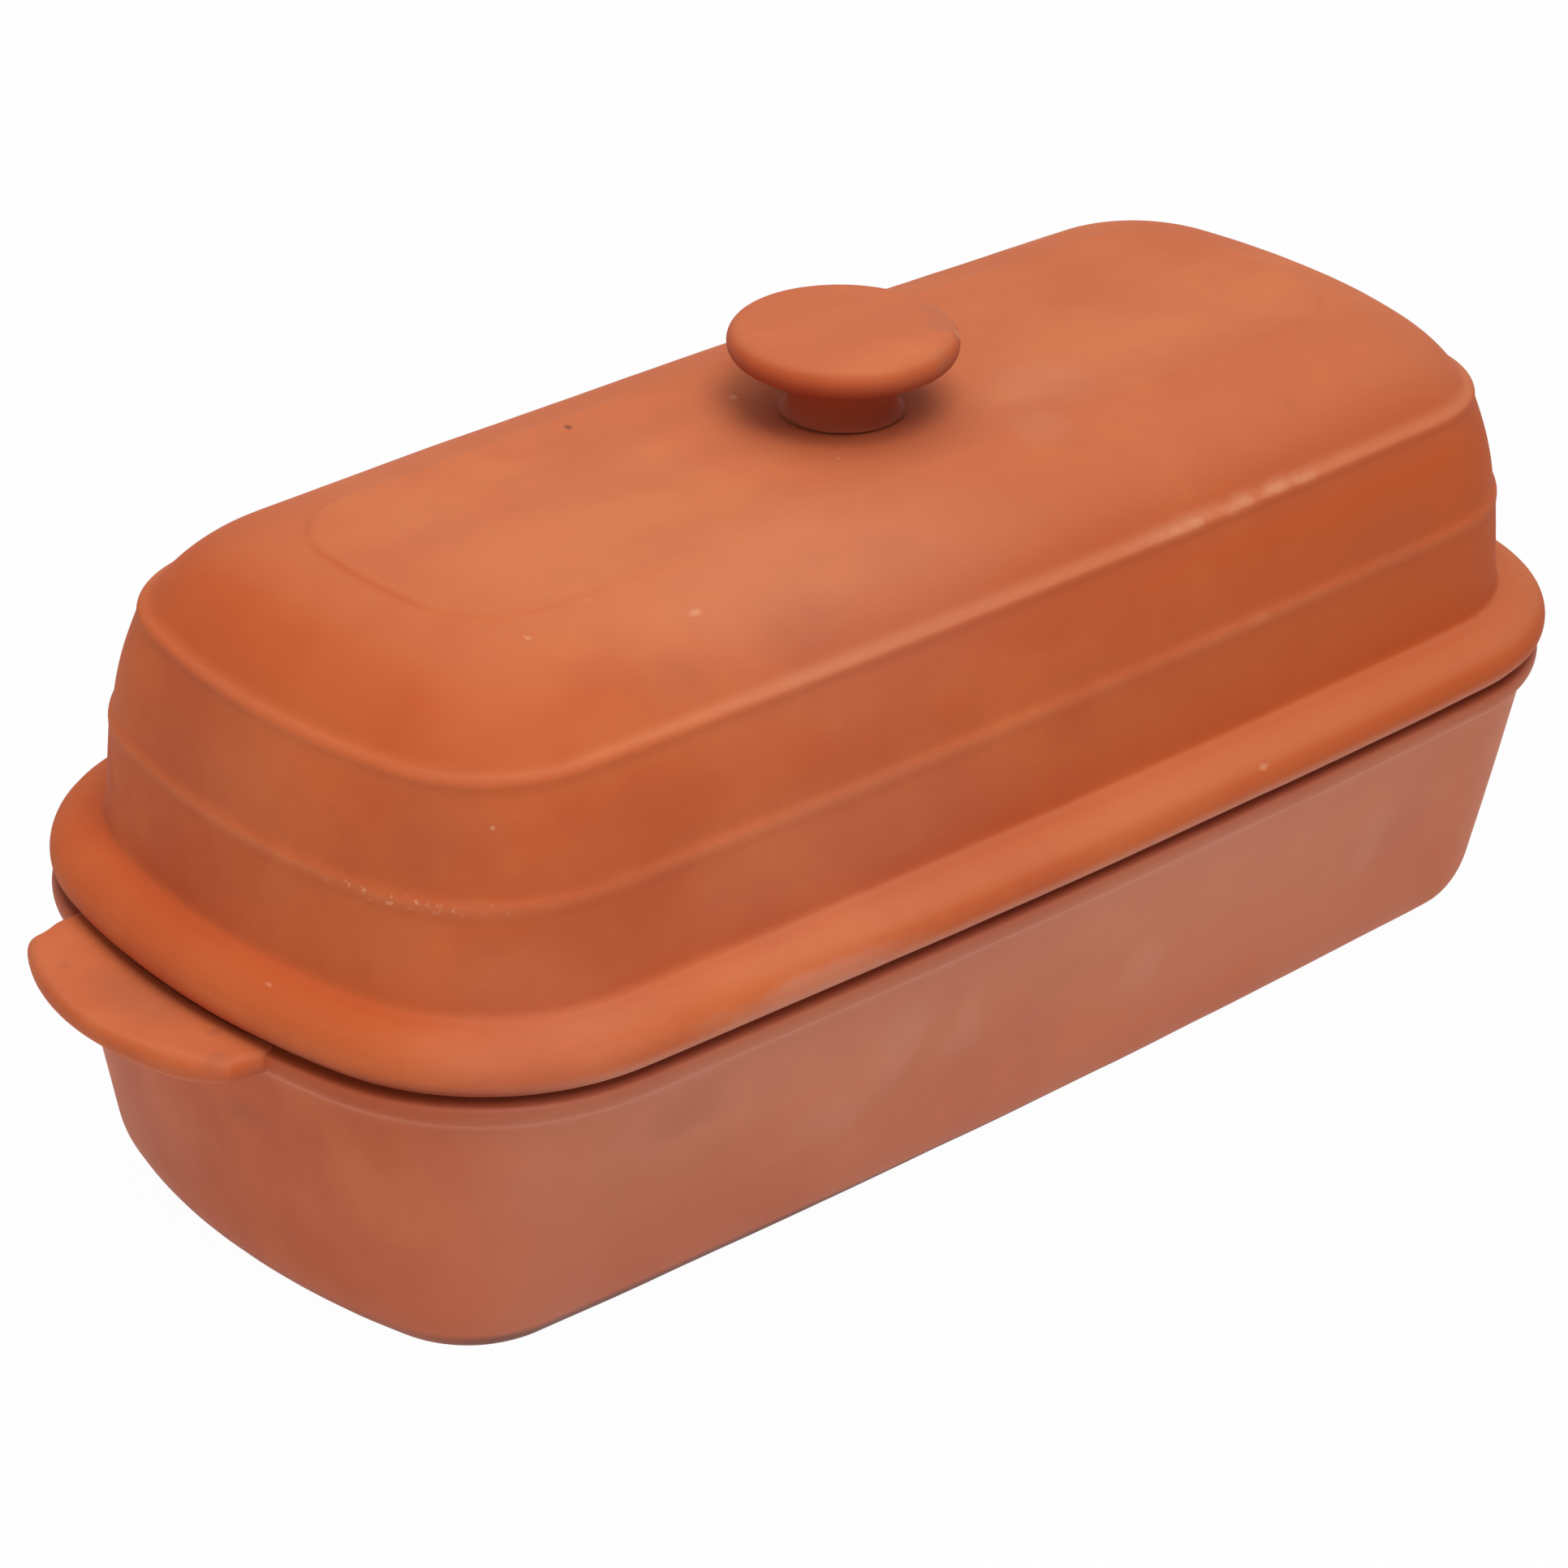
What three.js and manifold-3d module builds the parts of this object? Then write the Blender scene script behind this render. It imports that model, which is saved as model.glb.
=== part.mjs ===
// Terracotta bread baker: a tapered loaf trough with two end lugs, and a stepped lid with a mushroom knob.
// Millimetres, +Z up. The origin is the middle of the trough's foot, and +X runs along the loaf.

import * as THREE from 'three';
import { mergeVertices } from 'three/addons/utils/BufferGeometryUtils.js';
import Module from 'manifold-3d';

// Plan of the rim seen from above: bowed sides, bowed ends and round corners
const rimHalfLength = 160;
const rimHalfWidth = 76.4;
const rimCornerRadius = 46;
const sideBowRadius = 3200;
const endBowRadius = 159;

// Trough
const rimTop = 60.8;
const rimBandHeight = 5.1;
const rimBandInset = 0.6;
const rimEdgeRound = 1.2;
const wallTopInset = 2.8;
const footEndToeIn = 10;
const footSideToeIn = 14.5;
const footCornerRadius = 22.5;
const footRoundHeight = 10;
const footRoundDepth = 3.9;
const troughWall = 7.2;
const troughFloor = 8;
const floorFillet = 10;

// Lid: insets are measured inwards from the rim's plan, rises upwards from the lid's seat
const flangeWidestRise = 4.4;
const flangeGrooveRise = 1.5;
const flangeGrooveInset = 1.5;
const flangeEdgeRound = 2.2;
const flangeFullness = 0.56;
const wallFootRise = 10.9;
const wallFootInset = 10.4;
const lowerWallTopInset = 12;
const lowerWallTopRise = 28.6;
const lowerHollowInset = 12.2;
const lowerHollowRise = 30.4;
const lowerRidgeInset = 11.4;
const lowerRidgeRise = 31.6;
const tierFootInset = 13;
const tierFootRise = 33.5;
const tierBellyInset = 13.8;
const tierBellyRise = 41;
const tierTopInset = 17.7;
const tierTopRise = 50.4;
const upperHollowInset = 18.6;
const upperHollowRise = 52.4;
const upperRidgeInset = 17;
const upperRidgeRise = 53.4;
const domeFootInset = 20.6;
const domeFootRise = 54.6;
const domeShoulderInset = 28.6;
const domeShoulderRise = 66.9;
const panelRise = 70.2;
const panelStep = 0.8;
const panelStepWidth = 2;
const panelInset = 46.6;
const panelCornerRadius = 18.5;
const panelSag = 1;
const panelFlatInset = 58;
const lidWall = 7;
const lidRoof = 8;
const lipDepth = 4;

// Knob
const knobFootRadius = 12.6;
const knobWaistRadius = 10.8;
const knobWaistRise = 3.2;
const knobNeckRadius = 15;
const knobCapRadius = 22.4;
const knobCapRound = 3.5;
const knobNeckRise = 9.4;
const knobCapRise = 13.9;
const knobCrown = 0.6;

// End lugs, in plan from the rim's end outwards
const lugReach = 14.3;
const lugTipHalfWidth = 20;
const lugTipDrop = 4;
const lugShoulderReach = 3.5;
const lugShoulderHalfWidth = 30.4;
const lugRootFlare = 2;
const lugRootHalfWidth = lugShoulderHalfWidth + lugRootFlare;
const lugRootDepth = 24;
const lugTipThickness = 5.5;
const lugRootThickness = 8.2;
const lugEdgeRound = 2.3;
const lugEdgeFlat = 0.3;
const leftLugShift = 7;

// Clearances: the lid on its seat, the lid's lip in the trough's mouth, and each slip joint
const seatGap = 0.3;
const lipClearance = 0.8;
const slipGap = 0.3;

// Fineness of the rings and curves
const sideSteps = 2;
const cornerSteps = 6;
const endSteps = 4;
const curveSteps = 4;
const knobSteps = 32;
const sharpestInnerCorner = 3;

const wasm = await Module();
wasm.setup();

const mix = THREE.MathUtils.lerp;

// The trough's mouth at the rim, which the lid's lip drops into, and the seat that the lid rests on
const mouthInset = wallTopInset + troughWall;
const seat = rimTop + seatGap;

// A level is one horizontal outline: insets at the ends and sides, corner radius and height. The corner
// stays small enough for its centre to lie clear of the middle line.
function levelAt(inset, z, corner = rimCornerRadius - inset) {
  const sideSag = rimHalfLength ** 2 / (2 * sideBowRadius);
  const roomiest = rimHalfWidth - inset - sideSag;
  return { end: inset, side: inset, corner: THREE.MathUtils.clamp(corner, sharpestInnerCorner, roomiest), z };
}

// One quarter of a level's outline, from the +X end to the +Y side, as three tangent arcs.
function quarterOutline(level) {
  const endBow = endBowRadius - level.end;
  const sideBow = sideBowRadius - level.side;
  const endCentre = new THREE.Vector2(rimHalfLength - level.end - endBow, 0);
  const sideCentre = new THREE.Vector2(0, rimHalfWidth - level.side - sideBow);
  const between = endCentre.clone().sub(sideCentre);
  const span = between.length();
  const toSide = sideBow - level.corner;
  const toEnd = endBow - level.corner;
  const along = (toSide ** 2 - toEnd ** 2 + span ** 2) / (2 * span);
  const across = Math.sqrt(toSide ** 2 - along ** 2);
  const unit = between.divideScalar(span);
  const corner = sideCentre.clone().addScaledVector(unit, along);
  corner.add(new THREE.Vector2(unit.y, -unit.x).multiplyScalar(across));
  const endAngle = corner.clone().sub(endCentre).angle();
  const sideAngle = corner.clone().sub(sideCentre).angle();
  const arc = (centre, radius, from, to, steps) =>
    new THREE.EllipseCurve(centre.x, centre.y, radius, radius, from, to).getPoints(steps);
  return [
    ...arc(endCentre, endBow, 0, endAngle, endSteps),
    ...arc(corner, level.corner, endAngle, sideAngle, cornerSteps).slice(1),
    ...arc(sideCentre, sideBow, sideAngle, Math.PI / 2, sideSteps).slice(1),
  ];
}

// A level's whole outline, anticlockwise from the +X end.
function ringOf(level) {
  const forward = quarterOutline(level);
  const backward = [...forward].reverse();
  const turned = (points, x, y) =>
    points.slice(0, -1).map((point) => new THREE.Vector3(point.x * x, point.y * y, level.z));
  return [
    ...turned(forward, 1, 1),
    ...turned(backward, -1, 1),
    ...turned(forward, -1, -1),
    ...turned(backward, 1, -1),
  ];
}

// A closed body skinned over a run of levels, with its first and last levels filled in.
function skinned(levels) {
  const rings = levels.map(ringOf);
  const count = rings[0].length;
  const points = rings.flat();
  const triangles = [];
  for (let level = 0; level + 1 < rings.length; level += 1) {
    for (let step = 0; step < count; step += 1) {
      const here = level * count + step;
      const next = level * count + ((step + 1) % count);
      triangles.push(here, next, next + count, here, next + count, here + count);
    }
  }
  const first = points.length;
  const last = first + 1;
  const top = (rings.length - 1) * count;
  points.push(new THREE.Vector3(0, 0, levels[0].z), new THREE.Vector3(0, 0, levels.at(-1).z));
  for (let step = 0; step < count; step += 1) {
    const next = (step + 1) % count;
    triangles.push(first, next, step, last, top + step, top + next);
  }
  const geometry = new THREE.BufferGeometry().setFromPoints(points);
  geometry.setIndex(triangles);
  geometry.computeVertexNormals();
  return geometry;
}

// A level of the trough's tapered wall, moved inwards from its outside.
function wallLevel(z, inwards) {
  const down = 1 - z / (rimTop - rimBandHeight);
  const corner = mix(rimCornerRadius - wallTopInset, footCornerRadius, down) - inwards;
  return {
    end: wallTopInset + down * footEndToeIn + inwards,
    side: wallTopInset + down * footSideToeIn + inwards,
    corner: Math.max(corner, sharpestInnerCorner),
    z,
  };
}

// The trough's outside from its foot to its rim, grown by an allowance.
function troughOutside(allowance) {
  const levels = [];
  for (let step = 0; step <= curveSteps; step += 1) {
    const turn = (step / curveSteps) * Math.PI / 2;
    const z = footRoundHeight * (1 - Math.cos(turn));
    levels.push(wallLevel(z, footRoundDepth * (1 - Math.sin(turn)) - allowance));
  }
  const wallTop = rimTop - rimBandHeight;
  levels.push(wallLevel(wallTop, -allowance));
  const band = new THREE.Path();
  band.moveTo(wallTopInset, wallTop);
  band.quadraticCurveTo(rimBandInset, wallTop, rimBandInset, wallTop + rimBandHeight / 2);
  band.lineTo(rimBandInset, rimTop - rimEdgeRound);
  band.quadraticCurveTo(rimBandInset, rimTop, rimBandInset + rimEdgeRound, rimTop);
  const [, ...rising] = band.getPoints(curveSteps);
  levels.push(...rising.map((point) => levelAt(point.x - allowance, point.y)));
  return levels;
}

// The trough: outside, flat rim, sloping inner wall and rounded floor corners.
function troughGeometry() {
  const inside = [];
  for (let step = 0; step <= curveSteps; step += 1) {
    const turn = (step / curveSteps) * Math.PI / 2;
    const z = troughFloor + floorFillet * (1 - Math.sin(turn));
    inside.push(wallLevel(z, troughWall + floorFillet * (1 - Math.cos(turn))));
  }
  return skinned([...troughOutside(0), levelAt(mouthInset, rimTop), ...inside]);
}

// The lid: from the ceiling down the inside, round the lip and flange, and up the outside to the panel.
function lidGeometry() {
  const lipOuter = mouthInset + lipClearance;
  const lipBottom = seat - lipDepth;
  const innerFoot = wallFootInset + lidWall;
  const thinning = lidWall * Math.SQRT1_2;
  const profile = new THREE.Path();
  profile.moveTo(panelInset, seat + panelRise - lidRoof);
  profile.quadraticCurveTo(
    domeShoulderInset + thinning, seat + domeShoulderRise - thinning,
    upperHollowInset + lidWall, seat + upperHollowRise);
  profile.quadraticCurveTo(
    tierBellyInset + lidWall, seat + tierBellyRise, lowerHollowInset + lidWall, seat + lowerHollowRise);
  profile.lineTo(innerFoot, seat + wallFootRise);
  profile.lineTo(innerFoot, lipBottom);
  profile.lineTo(lipOuter + lipClearance, lipBottom);
  profile.lineTo(lipOuter, lipBottom + lipClearance);
  profile.lineTo(lipOuter, seat);
  profile.lineTo(flangeGrooveInset + flangeEdgeRound, seat);
  profile.quadraticCurveTo(flangeGrooveInset, seat, flangeGrooveInset, seat + flangeGrooveRise);
  profile.quadraticCurveTo(0, seat + flangeGrooveRise, 0, seat + flangeWidestRise);
  profile.bezierCurveTo(
    0, seat + mix(flangeWidestRise, wallFootRise, flangeFullness),
    mix(wallFootInset, 0, flangeFullness), seat + wallFootRise,
    wallFootInset, seat + wallFootRise);
  profile.lineTo(lowerWallTopInset, seat + lowerWallTopRise);
  profile.bezierCurveTo(
    lowerHollowInset, seat + lowerHollowRise, lowerRidgeInset, seat + lowerRidgeRise,
    tierFootInset, seat + tierFootRise);
  profile.quadraticCurveTo(tierBellyInset, seat + tierBellyRise, tierTopInset, seat + tierTopRise);
  profile.bezierCurveTo(
    upperHollowInset, seat + upperHollowRise, upperRidgeInset, seat + upperRidgeRise,
    domeFootInset, seat + domeFootRise);
  profile.quadraticCurveTo(
    domeShoulderInset, seat + domeShoulderRise,
    panelInset - panelStepWidth, seat + panelRise - panelStep);
  profile.quadraticCurveTo(panelInset - panelStepWidth / 2, seat + panelRise, panelInset, seat + panelRise);
  profile.lineTo(panelFlatInset, seat + panelRise - panelSag);
  const cornerAt = (inset) => {
    const share = (inset - domeFootInset) / (panelInset - domeFootInset);
    return share < 0 ? rimCornerRadius - inset
      : mix(rimCornerRadius - domeFootInset, panelCornerRadius, share);
  };
  const levels = profile.getPoints(curveSteps).map((point) => levelAt(point.x, point.y, cornerAt(point.x)));
  return skinned(levels);
}

// The knob: a waisted stem that spreads into a flat, round-edged cap.
function knobGeometry() {
  const underCap = knobCapRise - knobCapRound;
  const flatRadius = knobCapRadius - knobCapRound;
  const outline = new THREE.Path();
  outline.moveTo(0, 0);
  outline.lineTo(knobFootRadius, 0);
  outline.quadraticCurveTo(knobWaistRadius, knobWaistRise / 4, knobWaistRadius, knobWaistRise);
  outline.quadraticCurveTo(knobWaistRadius, knobNeckRise, knobNeckRadius, knobNeckRise);
  outline.lineTo(flatRadius, underCap);
  outline.absarc(flatRadius, knobCapRise, knobCapRound, -Math.PI / 2, Math.PI / 2, false);
  outline.quadraticCurveTo(flatRadius / 2, knobCapRise + knobCapRound + knobCrown,
    0, knobCapRise + knobCapRound + knobCrown);
  const geometry = new THREE.LatheGeometry(outline.getPoints(curveSteps), knobSteps);
  return geometry.rotateX(Math.PI / 2);
}

// One lug as a tab with round edges, thicker at its root, before the trough's end is cut out of it.
function lugBlank() {
  const round = Math.min(lugEdgeRound, (lugTipThickness - lugEdgeFlat) / 2);
  const tip = rimHalfLength + lugReach;
  const corner = tip - lugTipDrop;
  const shoulder = rimHalfLength + lugShoulderReach;
  const flare = rimHalfLength - lugShoulderReach;
  const bend = corner - 2 * lugTipDrop * (lugShoulderHalfWidth / lugTipHalfWidth - 1);
  const root = rimHalfLength - lugRootDepth;
  const plan = new THREE.Shape();
  plan.moveTo(root, -lugRootHalfWidth);
  plan.lineTo(flare, -lugRootHalfWidth);
  plan.quadraticCurveTo(rimHalfLength, -lugShoulderHalfWidth, shoulder, -lugShoulderHalfWidth);
  plan.quadraticCurveTo(bend, -lugShoulderHalfWidth, corner, -lugTipHalfWidth);
  plan.quadraticCurveTo(tip + lugTipDrop, 0, corner, lugTipHalfWidth);
  plan.quadraticCurveTo(bend, lugShoulderHalfWidth, shoulder, lugShoulderHalfWidth);
  plan.quadraticCurveTo(rimHalfLength, lugShoulderHalfWidth, flare, lugRootHalfWidth);
  plan.lineTo(root, lugRootHalfWidth);
  const blank = new THREE.ExtrudeGeometry(plan, {
    depth: lugTipThickness - 2 * round,
    bevelThickness: round,
    bevelSize: round,
    bevelOffset: -round,
    bevelSegments: curveSteps,
    curveSegments: curveSteps,
  });
  blank.translate(0, 0, rimTop - lugTipThickness + round);
  const middle = rimTop - lugTipThickness / 2;
  const places = blank.getAttribute('position');
  for (let index = 0; index < places.count; index += 1) {
    const rootward = (tip - places.getX(index)) / lugReach;
    const deeper = Math.min(rootward, 1) * (lugRootThickness - lugTipThickness);
    if (places.getZ(index) < middle) places.setZ(index, places.getZ(index) - deeper);
  }
  return blank;
}

// A closed geometry as a solid that can be cut.
function solidOf(geometry) {
  const bare = geometry.clone();
  bare.deleteAttribute('normal');
  bare.deleteAttribute('uv');
  const merged = mergeVertices(bare);
  return new wasm.Manifold(new wasm.Mesh({
    numProp: 3,
    vertProperties: Float32Array.from(merged.getAttribute('position').array),
    triVerts: Uint32Array.from(merged.getIndex().array),
  }));
}

// A solid back as a geometry.
function geometryOf(solid) {
  const mesh = solid.getMesh();
  const geometry = new THREE.BufferGeometry();
  geometry.setAttribute('position', new THREE.BufferAttribute(mesh.vertProperties, 3));
  geometry.setIndex(new THREE.BufferAttribute(mesh.triVerts, 1));
  geometry.computeVertexNormals();
  return geometry;
}

// A lug fitted to the trough's end, to one side of its middle, with the slip joint's gap between them.
function lugGeometry(sideways) {
  const outside = troughOutside(slipGap);
  const above = { ...outside.at(-1), z: rimTop + lugRootThickness };
  const end = solidOf(skinned([...outside, above]));
  return geometryOf(solidOf(lugBlank().translate(0, sideways, 0)).subtract(end));
}

function clay(colour, roughness) {
  return new THREE.MeshStandardMaterial({ color: colour, roughness, metalness: 0 });
}

function named(name, geometry, material) {
  const mesh = new THREE.Mesh(geometry, material);
  mesh.name = name;
  return mesh;
}

const baker = new THREE.Group();

const base = new THREE.Group();
const leftLug = named('left_lug_handle', lugGeometry(-leftLugShift), clay('#b9654a', 0.82));
leftLug.rotation.z = Math.PI;
base.add(
  named('base_trough', troughGeometry(), clay('#b0644e', 0.78)),
  leftLug,
  named('right_lug_handle', lugGeometry(0), clay('#b9654a', 0.82)),
);

const lid = new THREE.Group();
const knob = named('lid_knob', knobGeometry(), clay('#c4683f', 0.85));
knob.position.z = seat + panelRise - panelSag + slipGap;
lid.add(named('lid_shell', lidGeometry(), clay('#be5f38', 0.86)), knob);

baker.add(base, lid);

export default baker;
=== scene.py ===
# Terracotta bread baker: the finished clay of the trough, its lugs, the lid and the knob.
# Metres, +Z up. The origin is the middle of the trough's foot, and +X runs along the loaf.

from collections import namedtuple
from math import atan2, cos, pi, radians, sin, sqrt

import bmesh
import bpy
from mathutils import Matrix, Vector


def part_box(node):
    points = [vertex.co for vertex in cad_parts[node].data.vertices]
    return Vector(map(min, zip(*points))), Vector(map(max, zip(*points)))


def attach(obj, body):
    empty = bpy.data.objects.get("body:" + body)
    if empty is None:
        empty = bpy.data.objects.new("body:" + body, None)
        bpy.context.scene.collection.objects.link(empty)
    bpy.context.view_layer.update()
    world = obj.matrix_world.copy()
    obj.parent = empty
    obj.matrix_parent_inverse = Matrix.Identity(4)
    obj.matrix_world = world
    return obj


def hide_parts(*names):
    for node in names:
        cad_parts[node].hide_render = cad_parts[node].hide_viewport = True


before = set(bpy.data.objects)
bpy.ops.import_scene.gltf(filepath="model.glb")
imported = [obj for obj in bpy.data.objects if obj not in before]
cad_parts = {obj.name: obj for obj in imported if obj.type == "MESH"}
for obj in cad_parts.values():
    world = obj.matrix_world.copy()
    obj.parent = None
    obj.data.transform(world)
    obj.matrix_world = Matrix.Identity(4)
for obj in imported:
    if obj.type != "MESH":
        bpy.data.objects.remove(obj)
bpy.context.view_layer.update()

MM = 0.001

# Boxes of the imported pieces, which the clay is shaped to
trough_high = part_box("base_trough")[1]
lid_low, lid_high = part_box("lid_shell")
knob_low, knob_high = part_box("lid_knob")
left_lug_low, left_lug_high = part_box("left_lug_handle")
right_lug_low, right_lug_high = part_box("right_lug_handle")

# Plan of the flange seen from above: bowed sides, bowed ends and round corners
HALF_LENGTH = lid_high.x
HALF_WIDTH = lid_high.y
CORNER_RADIUS = 46 * MM
SIDE_BOW = 3200 * MM
END_BOW = 159 * MM

# Trough: the rim falls away outwards past its shoulder, so that the seam under the lid stays open
RIM_TOP = trough_high.z
RIM_BAND_INSET = HALF_LENGTH - trough_high.x
RIM_BAND_HEIGHT = 5.1 * MM
RIM_EDGE_ROUND = 1.2 * MM
RIM_SHOULDER = 1.8 * MM
RIM_FALL = 0.7 * MM
WALL_TOP = RIM_TOP - RIM_BAND_HEIGHT
WALL_TOP_INSET = 2.8 * MM
CREASE_LEAD = 0.5 * MM
FOOT_END_TOE_IN = 10 * MM
FOOT_SIDE_TOE_IN = 14.5 * MM
FOOT_CORNER = 22.5 * MM
FOOT_ROUND_HEIGHT = 10 * MM
FOOT_ROUND_DEPTH = 3.9 * MM
TROUGH_WALL = 7.2 * MM
TROUGH_FLOOR = 8 * MM
FLOOR_FILLET = 10 * MM
MOUTH_INSET = WALL_TOP_INSET + TROUGH_WALL

# Lid: insets are measured inwards from the flange's plan, rises upwards from the seat
SEAT_GAP = 0.3 * MM
SEAT = RIM_TOP + SEAT_GAP
LIP_DEPTH = SEAT - lid_low.z
PANEL_RISE = lid_high.z - SEAT
FLANGE_WIDEST_RISE = 4.4 * MM
FLANGE_GROOVE_RISE = 1.5 * MM
FLANGE_GROOVE_INSET = 1.5 * MM
FLANGE_EDGE_ROUND = 2.2 * MM
FLANGE_FULLNESS = 0.56
WALL_FOOT_RISE = 10.9 * MM
WALL_FOOT_INSET = 10.4 * MM
WALL_FOOT_FILLET = 1.5 * MM
WALL_FOOT_LEAN = 0.3 * MM
LOWER_WALL_TOP = Vector((12, 28.6)) * MM
LOWER_HOLLOW = Vector((12.2, 30.4)) * MM
LOWER_RIDGE = Vector((11.4, 31.6)) * MM
TIER_FOOT = Vector((13, 33.5)) * MM
TIER_BELLY = Vector((13.8, 41)) * MM
TIER_TOP = Vector((17.7, 50.4)) * MM
UPPER_HOLLOW = Vector((18.6, 52.4)) * MM
UPPER_RIDGE = Vector((17, 53.4)) * MM
DOME_FOOT = Vector((20.6, 54.6)) * MM
DOME_SHOULDER = Vector((28.6, 66.9)) * MM
LOWER_CREST = LOWER_HOLLOW.lerp(TIER_FOOT, 0.4)
UPPER_CREST = UPPER_HOLLOW.lerp(DOME_FOOT, 0.5)
RUBBED_WIDTH = 2 * MM
PANEL_STEP = 0.8 * MM
PANEL_STEP_WIDTH = 2 * MM
PANEL_INSET = 46.6 * MM
PANEL_CORNER = 18.5 * MM
PANEL_SAG = 1 * MM
LID_WALL = 7 * MM
LID_ROOF = 8 * MM
LIP_CLEARANCE = 0.8 * MM
SHARPEST_CORNER = 3 * MM

# How far the hand-set pieces sit off the middle
BASE_SHIFT = Vector((-0.2, 0, 0)) * MM
LID_SHIFT = Vector((0.4, -0.1, 0)) * MM
KNOB_SHIFT = Vector((0.7, -0.35, 0)) * MM
LUG_SHIFT = Vector((-0.25, 0.4, 0)) * MM

# Knob: radii, and rises from its foot
KNOB_CAP_RADIUS = knob_high.x
KNOB_RISE = knob_high.z - knob_low.z
KNOB_FOOT_RADIUS = 12.6 * MM
KNOB_WAIST_RADIUS = 10.8 * MM
KNOB_WAIST_RISE = 3.2 * MM
KNOB_NECK_RADIUS = 15 * MM
KNOB_CAP_ROUND = 3.5 * MM
KNOB_NECK_RISE = 9.4 * MM
KNOB_CROWN = 0.6 * MM

# Lugs, in plan from the rim's end outwards
LUG_REACH = right_lug_high.x - HALF_LENGTH
LUG_TIP_HALF_WIDTH = 20 * MM
LUG_TIP_DROP = 4 * MM
LUG_SHOULDER_REACH = 3.5 * MM
LUG_SHOULDER_HALF_WIDTH = 30.4 * MM
LUG_ROOT_HALF_WIDTH = right_lug_high.y
LUG_TIP_THICKNESS = 5.5 * MM
LUG_ROOT_THICKNESS = right_lug_high.z - right_lug_low.z
LUG_EDGE_ROUND = 2.3 * MM
LUG_FILLET = 4 * MM
LUG_BURIED = 3.4 * MM
LUG_UNDER_RIM = 0.15 * MM
LUG_END_RISE = 14 * MM
LUG_SPINE_REACH = 3 * MM

# Fineness of the rings, and of the runs of rings
END_STEPS = 9
CORNER_STEPS = 14
SIDE_STEPS = 14
KNOB_STEPS = 72
FOOT_STEPS = 8
WALL_STEPS = 9
INNER_WALL_STEPS = 8
FLOOR_STEPS = 7
LUG_EDGE_STEPS = 10

# How the filled ends of a skin close in on the middle line, ring by ring
CLOSINGS = (0.06, 0.2, 0.4, 0.62, 0.84, 1)
LUG_CLOSINGS = (0.12, 0.35, 0.65, 1)

# Pressed clay's slight unevenness: the depth and width of its dents
DENTS = ((0.35 * MM, 34 * MM), (0.06 * MM, 6 * MM))
MERGE_DISTANCE = 0.01 * MM


def bezier(steps, *controls):
    """Points along a Bezier curve of any order, without its start."""
    placed = []
    for step in range(1, steps + 1):
        share = step / steps
        points = [Vector(control) for control in controls]
        while len(points) > 1:
            points = [here.lerp(there, share) for here, there in zip(points, points[1:])]
        placed.append(points[0])
    return placed


def turned(steps, centre, radius, start, stop):
    """Points along an arc from one angle to another, without its start."""
    angles = [start + (stop - start) * step / steps for step in range(1, steps + 1)]
    return [Vector(centre) + radius * Vector((cos(angle), sin(angle))) for angle in angles]


# A level is one horizontal outline of a shell: its insets at the ends and sides, corner radius, height,
# how far it has closed in on the middle line, and how worn it is on the lid's ridges and how deep its
# painted shade lies on the trough's rim.
Level = namedtuple("Level", "end side corner height closing rubbed", defaults=(0, 0))


def corner_circle(level, end_centre, side_centre):
    """Centre of the corner's circle, which touches the bows of the end and the side from inside."""
    between = end_centre - side_centre
    span = between.length
    to_side = SIDE_BOW - level.side - level.corner
    to_end = END_BOW - level.end - level.corner
    along = (to_side ** 2 - to_end ** 2 + span ** 2) / (2 * span)
    across = sqrt(to_side ** 2 - along ** 2)
    unit = between / span
    return side_centre + unit * along + Vector((unit.y, -unit.x)) * across


def quarter_outline(level):
    """A quarter of a level's outline, from the +X end to the +Y side, as three tangent arcs."""
    end_bow = END_BOW - level.end
    side_bow = SIDE_BOW - level.side
    end_centre = Vector((HALF_LENGTH - level.end - end_bow, 0))
    side_centre = Vector((0, HALF_WIDTH - level.side - side_bow))
    corner = corner_circle(level, end_centre, side_centre)
    to_end = corner - end_centre
    to_side = corner - side_centre
    end_angle = atan2(to_end.y, to_end.x)
    side_angle = atan2(to_side.y, to_side.x)
    return [
        Vector((HALF_LENGTH - level.end, 0)),
        *turned(END_STEPS, end_centre, end_bow, 0, end_angle),
        *turned(CORNER_STEPS, corner, level.corner, end_angle, side_angle),
        *turned(SIDE_STEPS, side_centre, side_bow, side_angle, pi / 2),
    ]


def shell_ring(level):
    """A level's whole outline, anticlockwise from the +X end, as points in space."""
    forward = quarter_outline(level)
    backward = forward[::-1]
    reach = forward[0].x - forward[-1].y
    ring = []
    for run, x, y in ((forward, 1, 1), (backward, -1, 1), (forward, -1, -1), (backward, 1, -1)):
        for point in run[:-1]:
            out = Vector((point.x * x, point.y * y, level.height))
            middle = Vector((max(-reach, min(reach, out.x)), 0, level.height))
            ring.append(out.lerp(middle, level.closing))
    return ring


def closing_levels(level, crown, closings):
    """Levels that close a shell from an outline to its middle line, rising to a crown."""
    return [
        level._replace(closing=closing, height=level.height + crown * (1 - (1 - closing) ** 2), rubbed=0)
        for closing in closings
    ]


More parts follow.
